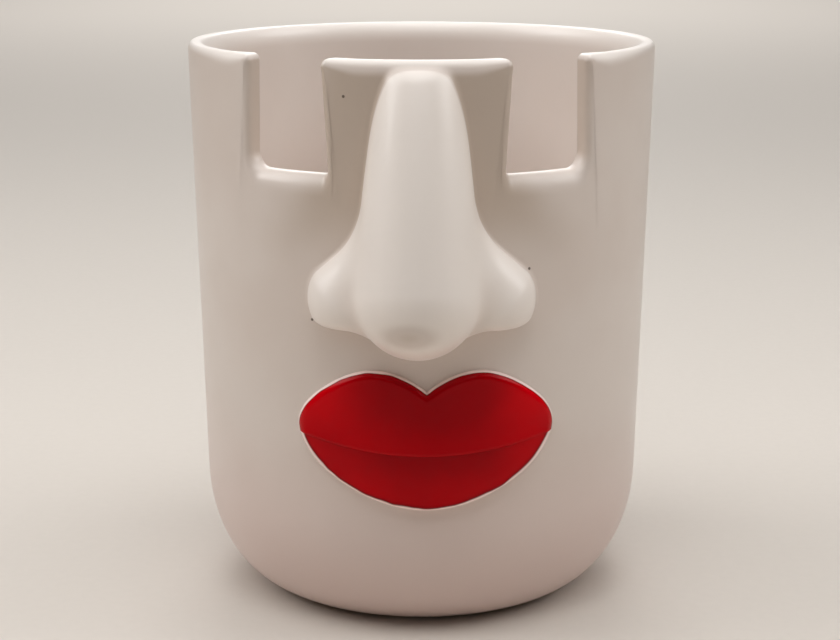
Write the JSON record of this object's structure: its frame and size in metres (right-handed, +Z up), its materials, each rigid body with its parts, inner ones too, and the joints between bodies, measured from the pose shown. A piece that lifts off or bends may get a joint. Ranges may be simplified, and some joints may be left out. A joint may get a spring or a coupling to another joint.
{
  "type": "face vase",
  "caption": "Round ceramic vase with an abstract face: a high-relief nose, raised red lips and eye notches cut down from the rim; holds flowers or pens.",
  "frame": {"origin": "centre of the foot ring, on the plane that the vase stands on", "axes": "+Z up along the vase's axis to the rim, -Y the way the face looks, +X to the right of someone who looks at the face"},
  "size_m": [0.1248, 0.1466, 0.1495],
  "materials": {
    "white_glaze": "gloss",
    "red_glaze": "gloss"
  },
  "bodies": {
    "root": {"vessel_body": "white_glaze", "nose": "white_glaze", "upper_lip": "red_glaze", "lower_lip": "red_glaze"}
  },
  "joints": []
}
